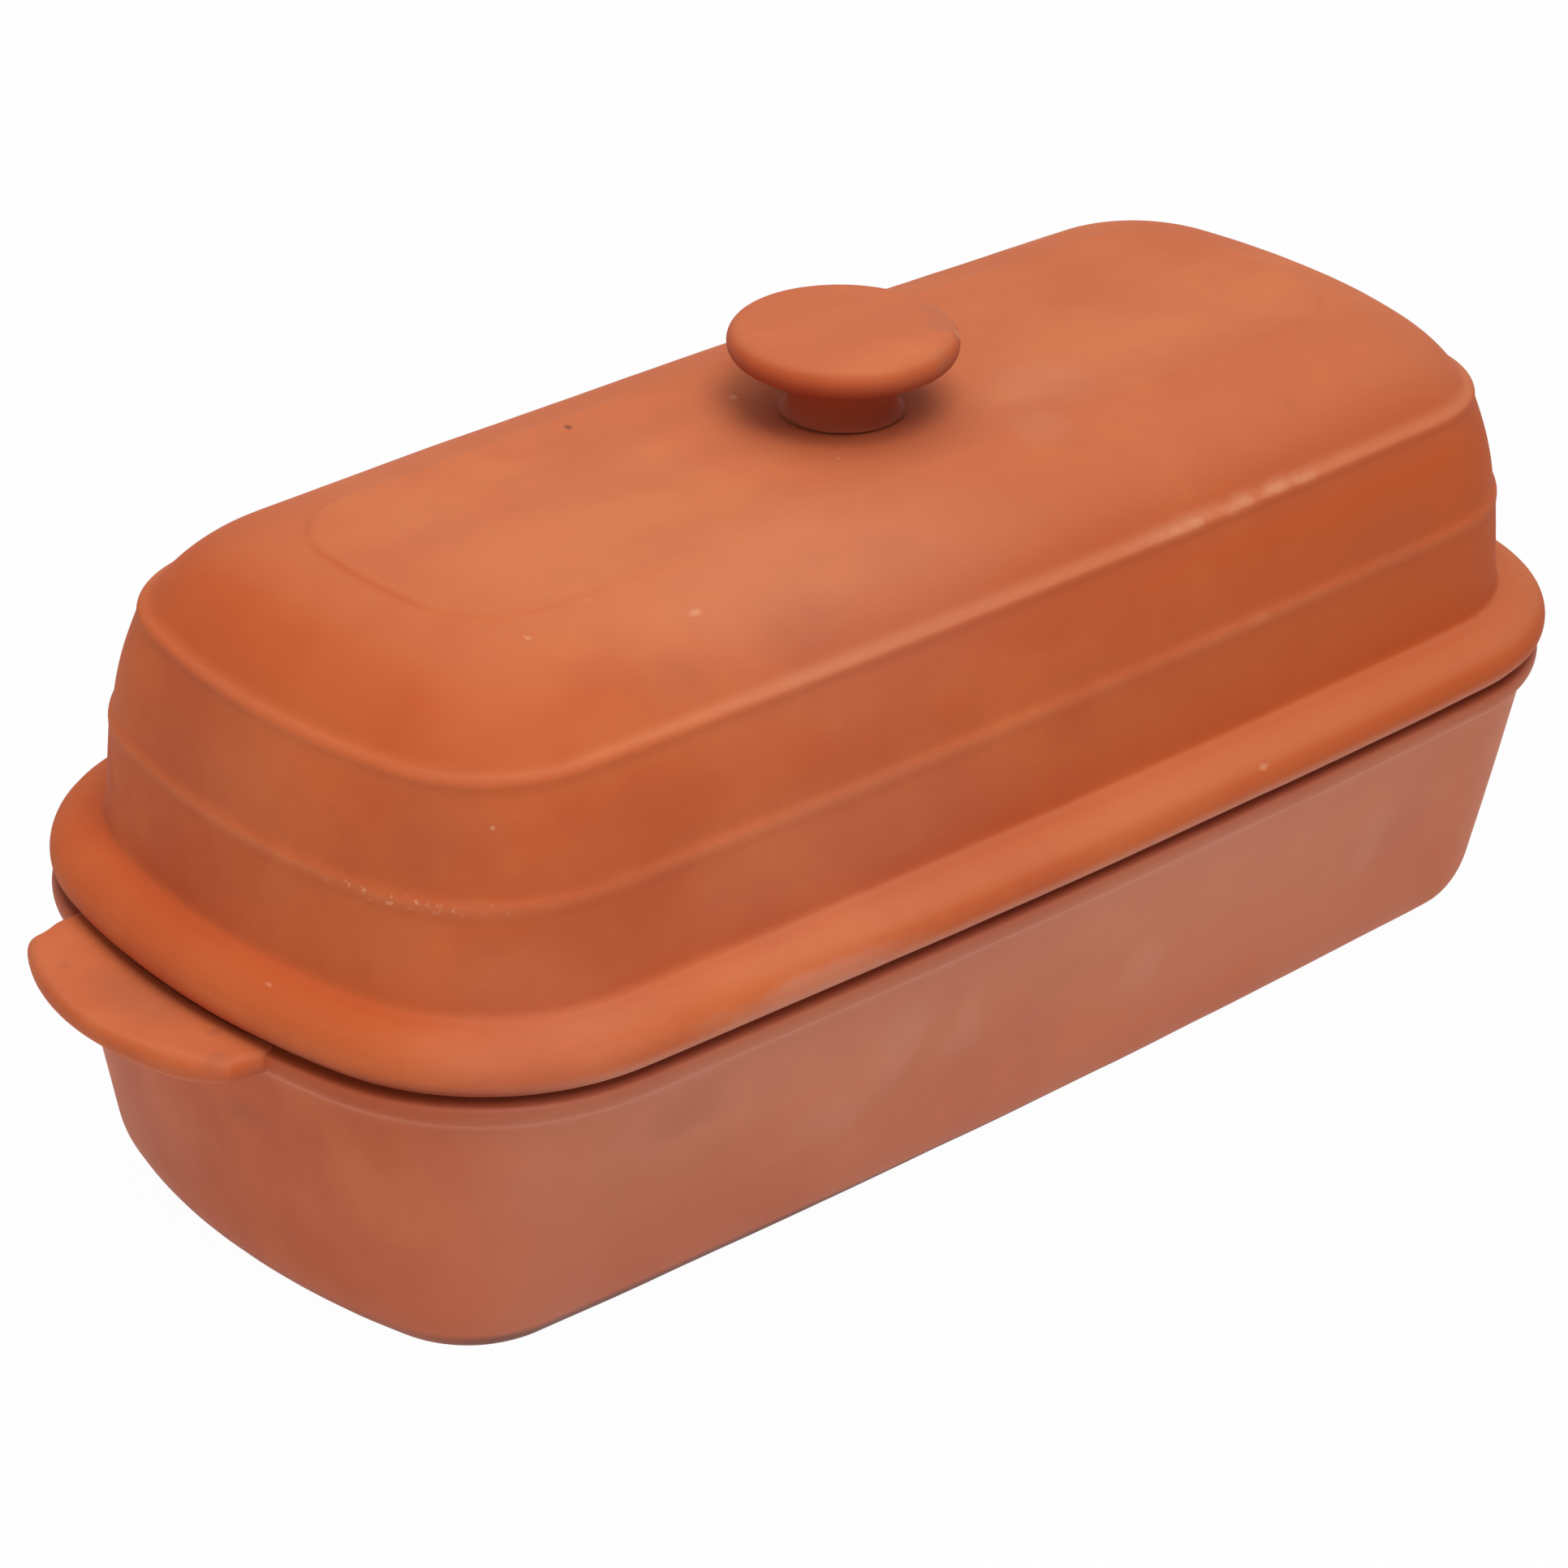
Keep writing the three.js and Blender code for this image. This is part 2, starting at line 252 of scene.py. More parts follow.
def add_ring(name, steps):
    """A circle of edges in edit mode, all of it selected, which numbers its points round the ring."""
    bpy.ops.object.select_all(action="DESELECT")
    bpy.ops.mesh.primitive_circle_add(vertices=steps, radius=HALF_WIDTH)
    piece = bpy.context.object
    piece.name = name
    piece.data.name = name
    bpy.ops.object.mode_set(mode="EDIT")
    bpy.ops.mesh.select_all(action="SELECT")
    shape = bmesh.from_edit_mesh(piece.data)
    numbers = shape.verts.layers.int.new("number")
    shape.verts.layers.float.new("rubbed")
    for index, point in enumerate(shape.verts):
        point[numbers] = index
    return piece


def place_ring(piece, ring, rubbed):
    """Moves the selected ring of points to its places, and notes how worn it is, and on the trough's rim how
    deep its painted shade is.
    """
    shape = bmesh.from_edit_mesh(piece.data)
    numbers = shape.verts.layers.int["number"]
    wear_and_shade_layer = shape.verts.layers.float["rubbed"]
    for point in shape.verts:
        if point.select:
            point.co = ring[point[numbers]]
            point[wear_and_shade_layer] = rubbed
    bmesh.update_edit_mesh(piece.data)


def skin(name, rings, wear_and_shade_shares, shift):
    """A closed skin of clay, pulled ring by ring from a circle of edges and set a little off the middle."""
    piece = add_ring(name, len(rings[0]))
    place_ring(piece, rings[0], wear_and_shade_shares[0])
    for ring, rubbed in zip(rings[1:], wear_and_shade_shares[1:]):
        bpy.ops.mesh.extrude_region_move(TRANSFORM_OT_translate={"value": (0, 0, MM)})
        place_ring(piece, ring, rubbed)
    bpy.ops.mesh.select_all(action="SELECT")
    bpy.ops.transform.translate(value=shift)
    bpy.ops.mesh.remove_doubles(threshold=MERGE_DISTANCE)
    bpy.ops.mesh.normals_make_consistent(inside=False)
    bpy.ops.object.mode_set(mode="OBJECT")
    piece.data.attributes.remove(piece.data.attributes["number"])
    return piece


def smooth_skin(piece):
    """Rounds a skin between its rings, and gives it the slight unevenness of pressed clay, inwards only."""
    rounding = piece.modifiers.new("rounding", "SUBSURF")
    rounding.levels = 1
    rounding.render_levels = 1
    bpy.ops.object.modifier_apply(modifier=rounding.name)
    for depth, width in DENTS:
        dents = bpy.data.textures.new("dents", "CLOUDS")
        dents.noise_scale = width
        dents.noise_depth = 1
        pressing = piece.modifiers.new("pressing", "DISPLACE")
        pressing.texture = dents
        pressing.texture_coords = "LOCAL"
        pressing.direction = "NORMAL"
        pressing.mid_level = 1
        pressing.strength = depth
        bpy.ops.object.modifier_apply(modifier=pressing.name)
    bpy.ops.object.shade_smooth()


def mark_upward(piece):
    """Notes how far each place of a piece faces up, which steers the pale dusting and painted sheen, and
    some painted shade.
    """
    upward = piece.data.attributes.new("upward", "FLOAT", "POINT")
    for point in piece.data.vertices:
        upward.data[point.index].value = max(0, point.normal.z)


def finish_piece(piece, body, node, clay):
    """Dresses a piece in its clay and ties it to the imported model."""
    mark_upward(piece)
    piece.data.materials.append(clay)
    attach(piece, body)
    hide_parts(node)


# Trough

def wall_level(height, inwards):
    """A level of the trough's tapered wall, moved inwards from its outside."""
    down = 1 - height / WALL_TOP
    corner = CORNER_RADIUS - WALL_TOP_INSET + (FOOT_CORNER - CORNER_RADIUS + WALL_TOP_INSET) * down
    return Level(
        WALL_TOP_INSET + down * FOOT_END_TOE_IN + inwards,
        WALL_TOP_INSET + down * FOOT_SIDE_TOE_IN + inwards,
        max(corner - inwards, SHARPEST_CORNER),
        height,
    )


def rim_painted_shade(inset, height):
    """How deep the painted shade under the lid's flange is at a place on the rim: the outer band only, from
    the crease up to the seam.
    """
    if inset > MOUTH_INSET / 2:
        return 0
    return max(0, (height - WALL_TOP) / (RIM_BAND_HEIGHT - RIM_FALL))


def trough_levels():
    """From the middle of the foot up the outside, over the rim, and down the inside to the floor."""
    foot = [
        wall_level(FOOT_ROUND_HEIGHT * (1 - cos(turn)), FOOT_ROUND_DEPTH * (1 - sin(turn)))
        for turn in (pi / 2 * step / FOOT_STEPS for step in range(FOOT_STEPS + 1))
    ]
    straight = WALL_TOP - FOOT_ROUND_HEIGHT
    wall = [wall_level(FOOT_ROUND_HEIGHT + straight * step / WALL_STEPS, 0) for step in range(1, WALL_STEPS)]
    shoulder_top = RIM_TOP - RIM_FALL
    band = [
        Vector((WALL_TOP_INSET, WALL_TOP - CREASE_LEAD)),
        *bezier(5, (WALL_TOP_INSET, WALL_TOP), (RIM_BAND_INSET, WALL_TOP),
                (RIM_BAND_INSET, WALL_TOP + RIM_BAND_HEIGHT / 2)),
        *bezier(6, (RIM_BAND_INSET, shoulder_top - RIM_SHOULDER), (RIM_BAND_INSET, shoulder_top),
                (RIM_BAND_INSET + RIM_SHOULDER, shoulder_top)),
        Vector((MOUTH_INSET - 3 * RIM_EDGE_ROUND, RIM_TOP)),
        Vector((MOUTH_INSET - 2 * RIM_EDGE_ROUND, RIM_TOP)),
        *bezier(4, (MOUTH_INSET - RIM_EDGE_ROUND, RIM_TOP), (MOUTH_INSET, RIM_TOP),
                (MOUTH_INSET, RIM_TOP - RIM_EDGE_ROUND)),
    ]
    rim = [
        Level(inset, inset, CORNER_RADIUS - inset, height, rubbed=rim_painted_shade(inset, height))
        for inset, height in band
    ]
    inner_foot = TROUGH_FLOOR + FLOOR_FILLET
    inner_wall = [
        wall_level(WALL_TOP + (inner_foot - WALL_TOP) * step / INNER_WALL_STEPS, TROUGH_WALL)
        for step in range(INNER_WALL_STEPS + 1)
    ]
    floor = [
        wall_level(
            TROUGH_FLOOR + FLOOR_FILLET * (1 - sin(turn)),
            TROUGH_WALL + FLOOR_FILLET * (1 - cos(turn)))
        for turn in (pi / 2 * step / FLOOR_STEPS for step in range(1, FLOOR_STEPS + 1))
    ]
    return [
        *closing_levels(foot[0], 0, CLOSINGS[::-1]),
        *foot, *wall, *rim, *inner_wall, *floor,
        *closing_levels(floor[-1], 0, CLOSINGS),
    ]


def make_trough():
    levels = trough_levels()
    rings = [shell_ring(level) for level in levels]
    piece = skin("base_trough_clay", rings, [level.rubbed for level in levels], BASE_SHIFT)
    smooth_skin(piece)
    return piece


# Lid

def lid_section():
    """The lid's cut edge: from the ceiling down the inside, round the lip and flange, up to the panel."""
    thinning = LID_WALL * sqrt(0.5)
    inner_foot = WALL_FOOT_INSET + LID_WALL
    lip_outer = MOUTH_INSET + LIP_CLEARANCE
    flange_full = FLANGE_WIDEST_RISE + (WALL_FOOT_RISE - FLANGE_WIDEST_RISE) * FLANGE_FULLNESS
    flange_top = WALL_FOOT_INSET * (1 - FLANGE_FULLNESS)
    fillet_top = (WALL_FOOT_INSET + WALL_FOOT_LEAN, WALL_FOOT_RISE + WALL_FOOT_FILLET)
    fillet_foot = (WALL_FOOT_INSET - WALL_FOOT_FILLET, WALL_FOOT_RISE)
    panel_edge = (PANEL_INSET - PANEL_STEP_WIDTH, PANEL_RISE - PANEL_STEP)
    inner_waist = (LOWER_HOLLOW.x + LID_WALL, LOWER_HOLLOW.y)
    inner_shoulder = (UPPER_HOLLOW.x + LID_WALL, UPPER_HOLLOW.y)
    return [
        Vector((PANEL_INSET, PANEL_RISE - LID_ROOF)),
        *bezier(8, (PANEL_INSET, PANEL_RISE - LID_ROOF),
                (DOME_SHOULDER.x + thinning, DOME_SHOULDER.y - thinning), inner_shoulder),
        *bezier(6, inner_shoulder, (TIER_BELLY.x + LID_WALL, TIER_BELLY.y), inner_waist),
        *bezier(4, inner_waist, (inner_foot, WALL_FOOT_RISE)),
        *bezier(4, (inner_foot, WALL_FOOT_RISE), (inner_foot, LIP_CLEARANCE - LIP_DEPTH)),
        *bezier(3, (inner_foot, LIP_CLEARANCE - LIP_DEPTH), (inner_foot, -LIP_DEPTH),
                (inner_foot - LIP_CLEARANCE, -LIP_DEPTH)),
        Vector((lip_outer + LIP_CLEARANCE, -LIP_DEPTH)),
        *bezier(3, (lip_outer + LIP_CLEARANCE, -LIP_DEPTH), (lip_outer, -LIP_DEPTH),
                (lip_outer, LIP_CLEARANCE - LIP_DEPTH)),
        Vector((lip_outer, -LIP_CLEARANCE / 2)),
        *bezier(2, (lip_outer, -LIP_CLEARANCE / 2), (lip_outer, 0), (lip_outer - LIP_CLEARANCE / 2, 0)),
        Vector((FLANGE_GROOVE_INSET + 1.5 * FLANGE_EDGE_ROUND, 0)),
        *bezier(5, (FLANGE_GROOVE_INSET + FLANGE_EDGE_ROUND, 0), (FLANGE_GROOVE_INSET, 0),
                (FLANGE_GROOVE_INSET, FLANGE_GROOVE_RISE)),
        *bezier(5, (FLANGE_GROOVE_INSET, FLANGE_GROOVE_RISE), (0, FLANGE_GROOVE_RISE),
                (0, FLANGE_WIDEST_RISE)),
        *bezier(10, (0, FLANGE_WIDEST_RISE), (0, flange_full), (flange_top, WALL_FOOT_RISE), fillet_foot),
        *bezier(4, fillet_foot, (WALL_FOOT_INSET, WALL_FOOT_RISE), fillet_top),
        *bezier(7, fillet_top, LOWER_WALL_TOP),
        *bezier(9, LOWER_WALL_TOP, LOWER_HOLLOW, LOWER_RIDGE, TIER_FOOT),
        *bezier(9, TIER_FOOT, TIER_BELLY, TIER_TOP),
        *bezier(9, TIER_TOP, UPPER_HOLLOW, UPPER_RIDGE, DOME_FOOT),
        *bezier(16, DOME_FOOT, DOME_SHOULDER, panel_edge),
        *bezier(4, panel_edge, (PANEL_INSET - PANEL_STEP_WIDTH / 2, PANEL_RISE), (PANEL_INSET, PANEL_RISE)),
    ]


def lid_corner(inset):
    """The plan's corner radius, parallel up to the upper ridge and then easing to the panel's."""
    share = (inset - DOME_FOOT.x) / (PANEL_INSET - DOME_FOOT.x)
    if share < 0:
        return CORNER_RADIUS - inset
    ridge_corner = CORNER_RADIUS - DOME_FOOT.x
    return ridge_corner + (PANEL_CORNER - ridge_corner) * share


def lid_rub(inset, rise):
    """How much a place on the lid's section is worn: most on the crests of the two ridges."""
    place = Vector((inset, rise))
    nearest = min((place - LOWER_CREST).length, (place - UPPER_CREST).length)
    return max(0, 1 - nearest / RUBBED_WIDTH)


def lid_levels():
    """The lid's section as levels, closed over the middle of the ceiling and of the panel."""
    section = [
        Level(
            inset, inset, max(lid_corner(inset), SHARPEST_CORNER), SEAT + rise,
            rubbed=lid_rub(inset, rise))
        for inset, rise in lid_section()
    ]
    return [
        *closing_levels(section[0], 0, CLOSINGS[::-1]),
        *section,
        *closing_levels(section[-1], -PANEL_SAG, CLOSINGS),
    ]


def make_lid():
    levels = lid_levels()
    rings = [shell_ring(level) for level in levels]
    piece = skin("lid_shell_clay", rings, [level.rubbed for level in levels], LID_SHIFT)
    smooth_skin(piece)
    return piece


# Knob

def knob_section():
    """Half of the knob's cut edge, as radii and rises, from the middle of its foot to its crown."""
    flat = KNOB_CAP_RADIUS - KNOB_CAP_ROUND
    cap_middle = KNOB_RISE - KNOB_CROWN - KNOB_CAP_ROUND
    under_cap = cap_middle - KNOB_CAP_ROUND
    return [
        Vector((0, 0)),
        *bezier(3, (0, 0), (KNOB_FOOT_RADIUS, 0)),
        *bezier(6, (KNOB_FOOT_RADIUS, 0), (KNOB_WAIST_RADIUS, KNOB_WAIST_RISE / 4),
                (KNOB_WAIST_RADIUS, KNOB_WAIST_RISE)),
        *bezier(7, (KNOB_WAIST_RADIUS, KNOB_WAIST_RISE),
                (KNOB_WAIST_RADIUS, KNOB_NECK_RISE), (KNOB_NECK_RADIUS, KNOB_NECK_RISE)),
        *bezier(3, (KNOB_NECK_RADIUS, KNOB_NECK_RISE), (flat, under_cap)),
        *turned(10, (flat, cap_middle), KNOB_CAP_ROUND, -pi / 2, pi / 2),
        *bezier(7, (flat, KNOB_RISE - KNOB_CROWN), (flat / 2, KNOB_RISE), (0, KNOB_RISE)),
    ]


def make_knob():
    angles = [2 * pi * step / KNOB_STEPS for step in range(KNOB_STEPS)]
    rings = [
        [Vector((radius * cos(angle), radius * sin(angle), knob_low.z + rise)) for angle in angles]
        for radius, rise in knob_section()
    ]
    piece = skin("lid_knob_clay", rings, [0] * len(rings), KNOB_SHIFT)
    smooth_skin(piece)
    return piece


# Lugs

def rim_end(across, inset):
    """How far out the trough's end lies, at a place across it and an inset from the flange's plan."""
    bow = END_BOW - inset
    return HALF_LENGTH - END_BOW + sqrt(bow ** 2 - across ** 2)


def lug_outline(inset, shift):
    """A lug's plan moved inwards, from its root round the tip and back inside the trough's wall."""
    tip = HALF_LENGTH + LUG_REACH - inset
    corner = tip - LUG_TIP_DROP
    shoulder = HALF_LENGTH + LUG_SHOULDER_REACH - inset
    flare = HALF_LENGTH - LUG_SHOULDER_REACH - inset / 2
    tip_half = LUG_TIP_HALF_WIDTH - inset / 2
    shoulder_half = LUG_SHOULDER_HALF_WIDTH - inset
    root_half = LUG_ROOT_HALF_WIDTH - inset
    bend = corner - 2 * LUG_TIP_DROP * (shoulder_half / tip_half - 1)
    near_side = [
        *bezier(7, (flare, -root_half), (HALF_LENGTH, -shoulder_half), (shoulder, -shoulder_half)),
        *bezier(10, (shoulder, -shoulder_half), (bend, -shoulder_half), (corner, -tip_half)),
    ]
    tip_edge = bezier(14, (corner, -tip_half), (tip + LUG_TIP_DROP, 0), (corner, tip_half))
    far_side = [Vector((point.x, -point.y)) for point in near_side[::-1]]
    front = [Vector((point.x, point.y + shift)) for point in [*near_side, *tip_edge[:-1], *far_side]]
    back = [Vector((rim_end(point.y, RIM_BAND_INSET + LUG_BURIED), point.y)) for point in front[::-1]]
    return front + back


def lug_under(point, shift):
    """The height of a lug's underside: lower towards the wall, filleted into it, and rising at the ends."""
    rootward = min(1, max(0, (HALF_LENGTH + LUG_REACH - point.x) / LUG_REACH))
    thickness = LUG_TIP_THICKNESS + (LUG_ROOT_THICKNESS - LUG_TIP_THICKNESS) * rootward
    clear = min(LUG_FILLET, max(0, point.x - rim_end(point.y, WALL_TOP_INSET)))
    fillet = LUG_FILLET - sqrt(LUG_FILLET ** 2 - (LUG_FILLET - clear) ** 2)
    full = RIM_TOP - thickness - fillet
    endward = min(1, max(0, 1 - (LUG_ROOT_HALF_WIDTH - abs(point.y - shift)) / LUG_END_RISE))
    return full + (WALL_TOP - full) * endward ** 2 * (3 - 2 * endward)


def lug_spine(outline, closing, shift):
    """A lug's outline drawn in towards the line along the middle of its top."""
    reach = LUG_SHOULDER_HALF_WIDTH - LUG_REACH / 2
    drawn = []
    for point in outline:
        middle = Vector((HALF_LENGTH + LUG_SPINE_REACH, max(-reach, min(reach, point.y - shift)) + shift))
        drawn.append(point.lerp(middle, closing))
    return drawn


def lug_rings(shift):
    """Rings from the middle of a lug's top, out over its round edge, and in again along its underside."""
    top = RIM_TOP - LUG_UNDER_RIM
    inner = lug_outline(LUG_EDGE_ROUND, shift)
    rings = []
    for closing in LUG_CLOSINGS[::-1]:
        rings.append([Vector((point.x, point.y, top)) for point in lug_spine(inner, closing, shift)])
    for step in range(LUG_EDGE_STEPS + 1):
        turn = pi * step / LUG_EDGE_STEPS
        share = (1 - cos(turn)) / 2
        ring = []
        for point in lug_outline(LUG_EDGE_ROUND * (1 - sin(turn)), shift):
            ring.append(Vector((point.x, point.y, top + (lug_under(point, shift) - top) * share)))
        rings.append(ring)
    for closing in LUG_CLOSINGS:
        drawn = lug_spine(inner, closing, shift)
        rings.append([Vector((point.x, point.y, lug_under(point, shift))) for point in drawn])
    return rings


def make_lug(name, side, shift):
    """A lug on the +X or -X end, shifted across it."""
    rings = [
        [Vector((point.x * side, point.y * side, point.z)) for point in ring] for ring in lug_rings(shift)
    ]
    piece = skin(name, rings, [0] * len(rings), LUG_SHIFT)
    smooth_skin(piece)
    return piece


# Shader maths

class Wire:
    """A value that runs through a node tree. Arithmetic on it adds Math nodes."""

    def __init__(self, nodes, socket):
        self.nodes = nodes
        self.socket = socket

    def other(self, name):
        """Another output of the node that this value comes from."""
        outputs = self.socket.node.outputs
        return Wire(self.nodes, next(output for output in outputs if output.identifier == name))

    def maths(self, operation, first, second):
        sockets = {"Value": first, "Value_001": second}
        return self.nodes.node("ShaderNodeMath", {"operation": operation}, sockets)

    def __add__(self, value):
        return self.maths("ADD", self, value)

    def __radd__(self, value):
        return self.maths("ADD", value, self)

    def __sub__(self, value):
        return self.maths("SUBTRACT", self, value)

    def __rsub__(self, value):
        return self.maths("SUBTRACT", value, self)

    def __mul__(self, value):
        return self.maths("MULTIPLY", self, value)

    def __rmul__(self, value):
        return self.maths("MULTIPLY", value, self)

    def __abs__(self):
        return self.maths("ABSOLUTE", self, 0)


class Nodes:
    """A node tree in the making, with one method that adds any node."""

    def __init__(self, tree):
        self.tree = tree

    def node(self, kind, settings=None, sockets=None):
        """Adds a node, sets it up, feeds its sockets, and gives its first live output."""
        node = self.tree.nodes.new(kind)
        for name, value in (settings or {}).items():
            setattr(node, name, value)
        for name, value in (sockets or {}).items():
            self.feed(next(socket for socket in node.inputs if socket.identifier == name), value)
        return Wire(self, next(output for output in node.outputs if output.enabled))

    def feed(self, socket, value):
        """Links a value to a socket, or sets it there if it is plain."""
        if isinstance(value, Wire):
            self.tree.links.new(value.socket, socket)
        else:
            socket.default_value = value

    def seen(self):
        """1 for the rays that look at a background: straight, mirrored or through glass."""
        ray = self.node("ShaderNodeLightPath")
        return ray.other("Is Camera Ray") + ray.other("Is Glossy Ray") + ray.other("Is Transmission Ray")


# The part of a blot that is full, and how sharply specks are chosen
BLOT_CORE = 0.25
LOTTERY_EDGE = 0.02


class Finish(Nodes):
    """A material in the making, around its main shader."""

    def __init__(self, name):
        self.material = bpy.data.materials.new(name)
        self.material.use_nodes = True
        super().__init__(self.material.node_tree)
        self.shader = self.tree.nodes["Principled BSDF"]

    def place(self):
        return self.node("ShaderNodeTexCoord").other("Object")

    def axes(self, place):
        """A place's X, with its Y and Z as other outputs."""
        return self.node("ShaderNodeSeparateXYZ", {}, {"Vector": place})

    def noise(self, place, scale, detail=2.0, roughness=0.5):
        """Soft noise from 0 to 1, with a scale in lumps to the metre."""
        return self.node("ShaderNodeTexNoise", {}, {
            "Vector": place, "Scale": scale, "Detail": detail, "Roughness": roughness})

    def between(self, value, low, high):
        """A smooth step from 0 at low to 1 at high."""
        return self.node("ShaderNodeMapRange", {"interpolation_type": "SMOOTHSTEP"}, {
            "Value": value, "From Min": low, "From Max": high})

    def mix(self, share, first, second):
        """Two colours mixed by a share from 0 to 1."""
        return self.node("ShaderNodeMix", {"data_type": "RGBA"}, {
            "Factor_Float": share, "A_Color": first, "B_Color": second})

    def vector(self, operation, first, second):
        return self.node("ShaderNodeVectorMath", {"operation": operation}, {
            "Vector": first, "Vector_001": second})

    def ragged(self, place, width, amount):
        """A place pushed about by noise, so that blots drawn from it get ragged edges."""
        push = self.vector("SUBTRACT", self.noise(place, 1 / width, 3).other("Color"), (0.5, 0.5, 0.5))
        return self.vector("ADD", place, self.vector("MULTIPLY", push, (amount, amount, amount)))

    def blot(self, place, spot, size, stretch=(1, 1, 1)):
        """1 at a spot given in millimetres, falling to 0 at its size, which stretches along each axis."""
        squeeze = Vector([1 / way for way in stretch])
        centre = Vector(spot) * MM * squeeze
        apart = self.vector("DISTANCE", self.vector("MULTIPLY", place, squeeze), centre).other("Value")
        return 1 - self.between(apart, BLOT_CORE * size * MM, size * MM)

    def attribute(self, name):
        return self.node("ShaderNodeAttribute", {"attribute_name": name}).other("Fac")

    def specks(self, place, scale, size, rarity):
        """Sparse round specks: the cells of a random pattern that pass a lottery."""
        cell = self.node("ShaderNodeTexVoronoi", {}, {"Vector": place, "Scale": scale})
        lottery = self.node("ShaderNodeSeparateColor", {}, {"Color": cell.other("Color")})
        chosen = self.between(lottery, rarity, rarity + LOTTERY_EDGE)
        return chosen * (1 - self.between(cell, size / 2, size))

    def bump(self, height, strength, distance):
        self.feed(self.shader.inputs["Normal"], self.node("ShaderNodeBump", {}, {
            "Height": height, "Strength": strength, "Distance": distance}))

    def colour(self, value):
        self.feed(self.shader.inputs["Base Color"], value)

    def rough(self, value):
        self.feed(self.shader.inputs["Roughness"], value)


def paint(red, green, blue):
    """A colour given as it looks on a screen, from 0 to 255, as the light that it gives back."""
    def light(value):
        share = value / 255
        return share / 12.92 if share <= 0.04045 else ((share + 0.055) / 1.055) ** 2.4
    return (light(red), light(green), light(blue), 1)


# Clay finishes

FIRED_ORANGE = paint(211, 105, 53)
# Deeper orange for painted shade on the lid
SHADE_ORANGE = paint(197, 85, 26)
DEEP_ORANGE = paint(197, 88, 40)
BROWN_SMUDGE = paint(158, 84, 60)
# Pale for dusting and for a painted sheen on upward faces
PALE_DUST_AND_SHEEN = paint(233, 174, 132)
# Pale clay for specks, nicks and crests, and for painted light on the trough's long sides
FRESH_CLAY_AND_LIGHT = paint(238, 178, 142)
IRON_SPECK = paint(110, 56, 42)
# Pink for bloom, smears and haze, and for painted light on the flange's lower edge and a painted highlight
# on the trough's crease
PINK_BLOOM_AND_LIGHT = paint(224, 162, 140)
GREY_SOOT = paint(140, 104, 88)
# Brown for painted shade: in the seam, on the trough's rim under the lid, and on the knob under its cap
PAINTED_SHADE_BROWN = paint(140, 58, 34)
# Dark brown for the painted contact shadow along the foot
CONTACT_SHADOW_BROWN = paint(86, 36, 24)

# Patterns in the clay, in lumps to the metre
CLOUDS = 11
STREAKS = 45
MOTTLE = 70
PALE_SPECKS = 90
IRON_SPECKS = 130
GRAIN = 700
RIPPLES = 160
# Patches of the pale dusting and painted sheen
DUST_AND_SHEEN_PATCHES = 14
BLOOM_CLOUDS = 16
ROUGH_PATCHES = 40
WEAR_LENGTHS = 25
WEAR_PATCHES = 160
WEAR_DOTS = 800

# Ranges over which a mask rises from 0 to 1: places along an axis, or how far up a face looks
# Where the pale dusting and painted sheen reach: along the piece, and how far up a face looks
DUST_AND_SHEEN_SLOPES = (-140 * MM, -30 * MM)
DUST_AND_SHEEN_END = (-155 * MM, -120 * MM)
DUST_AND_SHEEN_SLANT = (1.05, 1.45)
# Where the painted shade lies on the lid: its right wall, its left end, and the upward faces there
SHADE_RIGHT = (-30 * MM, 100 * MM)
SHADE_LEFT = (-130 * MM, -85 * MM)
SHADE_BACK = (-65 * MM, -35 * MM)
SHADE_SLANT = (0.2, 0.6)
FLANGE_FRONT = (-150 * MM, -110 * MM)
BLOOM_START = (-155 * MM, -125 * MM)
BLOOM_FADE = (60 * MM, 160 * MM)
BLOOM_HEIGHT = (12 * MM, 50 * MM)
# Where the painted light on the trough's long sides fades out to the right
PAINTED_LIGHT_FADE = (-60 * MM, 60 * MM)
# Where the painted contact shadow thins out along the front
CONTACT_SHADOW_FADE = (-90 * MM, 60 * MM)
INNER_SLANT = (0.03, 0.2)
LUG_TOP_SLANT = (0.5, 0.9)


def clay_body(finish, place):
    """Fired clay's own colour: cloudy patches, smoothing streaks, a fine mottle and scattered specks."""
    cloud = finish.noise(place, CLOUDS, 3, 0.55)
    streak = finish.noise(finish.vector("MULTIPLY", place, (0.3, 1, 1)), STREAKS, 3)
    mottle = finish.noise(place, MOTTLE, 4, 0.6)
    share = finish.between(cloud * 0.5 + streak * 0.3 + mottle * 0.2, 0.4, 0.6)
    colour = finish.mix(share, DEEP_ORANGE, FIRED_ORANGE)
    colour = finish.mix(finish.specks(place, PALE_SPECKS, 0.1, 0.95) * 0.4, colour, FRESH_CLAY_AND_LIGHT)
    return finish.mix(finish.specks(place, IRON_SPECKS, 0.09, 0.97) * 0.3, colour, IRON_SPECK)


def clay_surface(finish, place, roughness, depth):
    """Unglazed clay's matte surface: a fine grain over slight ripples from smoothing it by hand."""
    finish.rough(roughness + 0.14 * finish.noise(place, ROUGH_PATCHES, 3))
    grain = finish.noise(place, GRAIN, 3, 0.6) + 2 * finish.noise(place, RIPPLES, 2)
    finish.bump(grain, 0.22, depth)


